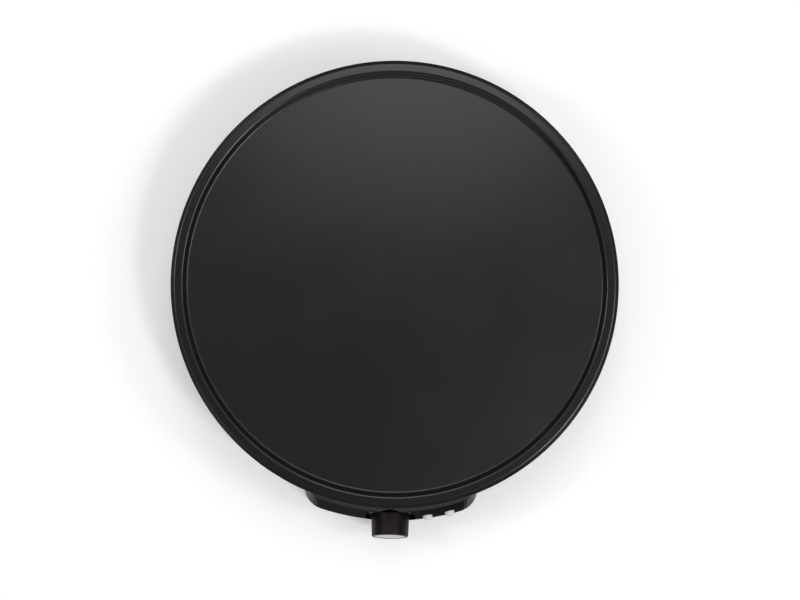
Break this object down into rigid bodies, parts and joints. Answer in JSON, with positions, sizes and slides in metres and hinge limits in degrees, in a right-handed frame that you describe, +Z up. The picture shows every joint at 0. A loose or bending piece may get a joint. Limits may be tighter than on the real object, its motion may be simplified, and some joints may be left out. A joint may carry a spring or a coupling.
{
  "type": "electric crepe maker",
  "caption": "Countertop electric crepe maker: a round non-stick cooking plate with a low rim on a round base, with a sloped front control panel, thermostat knob and indicator lamps.",
  "frame": {"origin": "on the surface it stands on, below the middle of the whole outline", "axes": "+Z up, +Y to the back, where the cord enters; the control panel faces -Y"},
  "size_m": [0.38, 0.4123, 0.08],
  "materials": {
    "plate_coating": "die-cast aluminium under a black non-stick coating, satin with a fine grain",
    "element_steel": "dull grey steel tube",
    "ceramic_seal": "cream unglazed ceramic",
    "screw_steel": "zinc-plated steel",
    "sheet_steel": "plated sheet steel",
    "heat_break": "tan heat-resistant laminate",
    "reflector_sheet": "bright rolled aluminium sheet",
    "brass_parts": "bare brass",
    "copper_parts": "bare copper",
    "fuse_case": "tin-plated metal case",
    "housing_plastic": "black heat-resistant plastic, fine satin texture",
    "cover_plastic": "black plastic, fine texture",
    "foot_rubber": "black rubber",
    "panel_gloss": "high-gloss black plastic",
    "lens_frosted": "frosted clear plastic lens, translucent",
    "neon_glass": "clear glass lamp",
    "thermostat_phenolic": "brown phenolic moulding",
    "knob_plastic": "dark brown-black plastic, satin",
    "cap_metal": "spun aluminium disc",
    "pointer_white": "white inlay",
    "block_plastic": "cream plastic",
    "lead_brown": "brown silicone insulation",
    "lead_blue": "blue silicone insulation",
    "lead_green": "green and yellow silicone insulation",
    "lead_red": "red silicone insulation",
    "lead_white": "white silicone insulation"
  },
  "bodies": {
    "base": {"cooking_plate": "plate_coating", "heating_element": "element_steel", "element_seals": "ceramic_seal", "element_pins": "screw_steel", "element_clamps": "sheet_steel", "clamp_screws": "screw_steel", "plate_washers": "heat_break", "plate_screws": "screw_steel", "heat_reflector": "reflector_sheet", "reflector_screws": "screw_steel", "earth_tab": "brass_parts", "thermal_fuse": "fuse_case", "fuse_clamp": "sheet_steel", "sensing_bulb": "copper_parts", "bulb_clamp": "sheet_steel", "capillary_tube": "copper_parts", "base_housing": "housing_plastic", "bottom_cover": "cover_plastic", "rubber_feet": "foot_rubber", "foot_screws": "screw_steel", "front_panel": "panel_gloss", "panel_screws": "screw_steel", "power_lens": "lens_frosted", "heating_lens": "lens_frosted", "power_lamp": "neon_glass", "heating_lamp": "neon_glass", "lens_retainers": "sheet_steel", "thermostat_body": "thermostat_phenolic", "thermostat_bracket": "sheet_steel", "thermostat_bushing": "brass_parts", "thermostat_screws": "screw_steel", "thermostat_tabs": "brass_parts", "terminal_block": "block_plastic", "terminal_screws": "screw_steel", "cord_gland": "foot_rubber", "cord_clamp": "cover_plastic", "cord_clamp_screws": "screw_steel", "live_lead": "lead_brown", "neutral_lead": "lead_blue", "earth_lead": "lead_green", "thermostat_lead": "lead_red", "fuse_lead": "lead_red", "lamp_leads": "lead_white"},
    "knob": {"thermostat_knob": "knob_plastic", "knob_cap": "cap_metal", "knob_pointer": "pointer_white", "knob_clip": "sheet_steel", "thermostat_shaft": "screw_steel"}
  },
  "joints": [
    {"name": "knob_turn", "type": "hinge", "parent": "base", "child": "knob", "pos_m": [0, -0.18213, 0.039], "axis": [0, 0.9659, -0.2588], "range_deg": [0, 270]}
  ]
}
